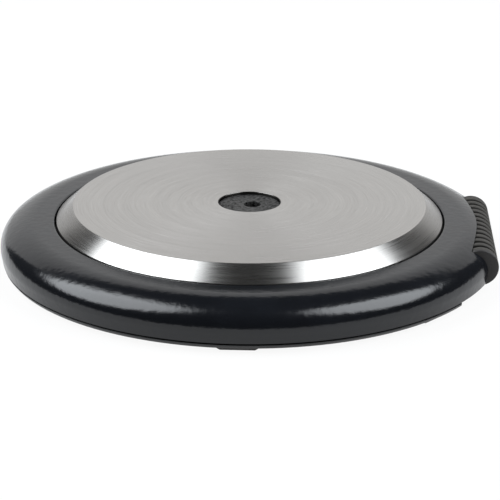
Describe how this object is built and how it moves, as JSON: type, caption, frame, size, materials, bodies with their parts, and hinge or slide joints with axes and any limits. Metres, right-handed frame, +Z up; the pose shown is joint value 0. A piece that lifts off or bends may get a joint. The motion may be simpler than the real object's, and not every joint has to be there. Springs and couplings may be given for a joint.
{
  "type": "electric hot plate",
  "caption": "Slim round electric hot plate: bevelled brushed steel plate in a gloss black ring, ribbed pull-out carry grip let into the rim, heat wheel and inlet at the rear.",
  "frame": {"origin": "on the floor under the middle of the round body; the feet stand on Z = 0", "axes": "+Z up; +X towards the ribbed carry grip; +Y towards the mains inlet at the rear; -Y is the plain front"},
  "size_m": [0.2315, 0.233, 0.0285],
  "materials": {
    "plate_steel": "turned and brushed in fine circles",
    "ring_black": "gloss black, slightly satin on its top band",
    "base_black": "satin black",
    "foot_rubber": "matte",
    "grip_rubber": "matte ribbed rubber",
    "cap_black": "fine grain",
    "core_nylon": "plain",
    "rod_steel": "ground and polished",
    "screw_steel": "zinc plated",
    "casting_metal": "as cast",
    "disc_iron": "dark, fine grain",
    "element_sheath": "oxidised",
    "ceramic": "unglazed ceramic",
    "fibre": "pressed ceramic fibre",
    "sheet_steel": "aluminised sheet",
    "gasket_black": "silicone",
    "wheel_black": "fine grain",
    "block_brown": "moulded phenolic",
    "brass": "plain",
    "spring_bronze": "rolled strip",
    "inlet_black": "fine grain",
    "lens_amber": "clear amber",
    "lamp_glass": "clear",
    "wire_brown": "silicone sleeve",
    "wire_blue": "silicone sleeve",
    "wire_green": "silicone sleeve"
  },
  "bodies": {
    "base": {"heating_plate": "plate_steel", "heater_casting": "casting_metal", "heating_element": "element_sheath", "element_pins": "screw_steel", "pin_insulators": "ceramic", "insulation_disc": "fibre", "heat_shield": "sheet_steel", "centre_disc": "disc_iron", "centre_stud": "screw_steel", "clamp_bracket": "sheet_steel", "clamp_washer": "screw_steel", "clamp_nut": "screw_steel", "plate_gasket": "gasket_black", "top_ring": "ring_black", "base_plate": "base_black", "foot_front": "foot_rubber", "foot_front_right": "foot_rubber", "foot_rear_right": "foot_rubber", "foot_rear": "foot_rubber", "foot_left": "foot_rubber", "base_screws": "screw_steel", "guide_screws": "screw_steel", "bracket_screws": "screw_steel", "rod_guide_rear": "core_nylon", "rod_guide_front": "core_nylon", "thermostat_bracket": "sheet_steel", "thermostat_block": "block_brown", "push_blade": "spring_bronze", "bimetal_blade": "spring_bronze", "thermostat_screws": "screw_steel", "power_inlet": "inlet_black", "inlet_blades": "brass", "earth_contacts": "brass", "lamp_lens": "lens_amber", "pilot_lamp": "lamp_glass", "wire_live": "wire_brown", "wire_to_fuse": "wire_brown", "wire_from_fuse": "wire_brown", "wire_neutral": "wire_blue", "wire_to_element": "wire_blue", "wire_earth": "wire_green", "terminal_block": "ceramic", "terminal_screws": "brass", "thermal_fuse": "sheet_steel", "fuse_clip": "sheet_steel", "earth_stud": "screw_steel"},
    "carry_handle": {"grip_sleeve": "grip_rubber", "grip_core": "core_nylon", "grip_cap_rear": "cap_black", "grip_cap_front": "cap_black", "handle_rod_rear": "rod_steel", "handle_rod_front": "rod_steel", "grip_set_screws": "screw_steel", "rod_clips": "screw_steel", "handle_cross_bar": "sheet_steel"},
    "heat_control": {"heat_wheel": "wheel_black", "thermostat_shaft": "brass", "thermostat_cam": "core_nylon"}
  },
  "joints": [
    {"name": "handle_slide", "type": "slide", "parent": "base", "child": "carry_handle", "axis": [1, 0, 0], "range_m": [0, 0.038]},
    {"name": "heat_wheel_turn", "type": "hinge", "parent": "base", "child": "heat_control", "pos_m": [-0.05851, 0.08355, 0.0101], "axis": [0, 0, 1], "range_deg": [0, 270]}
  ]
}
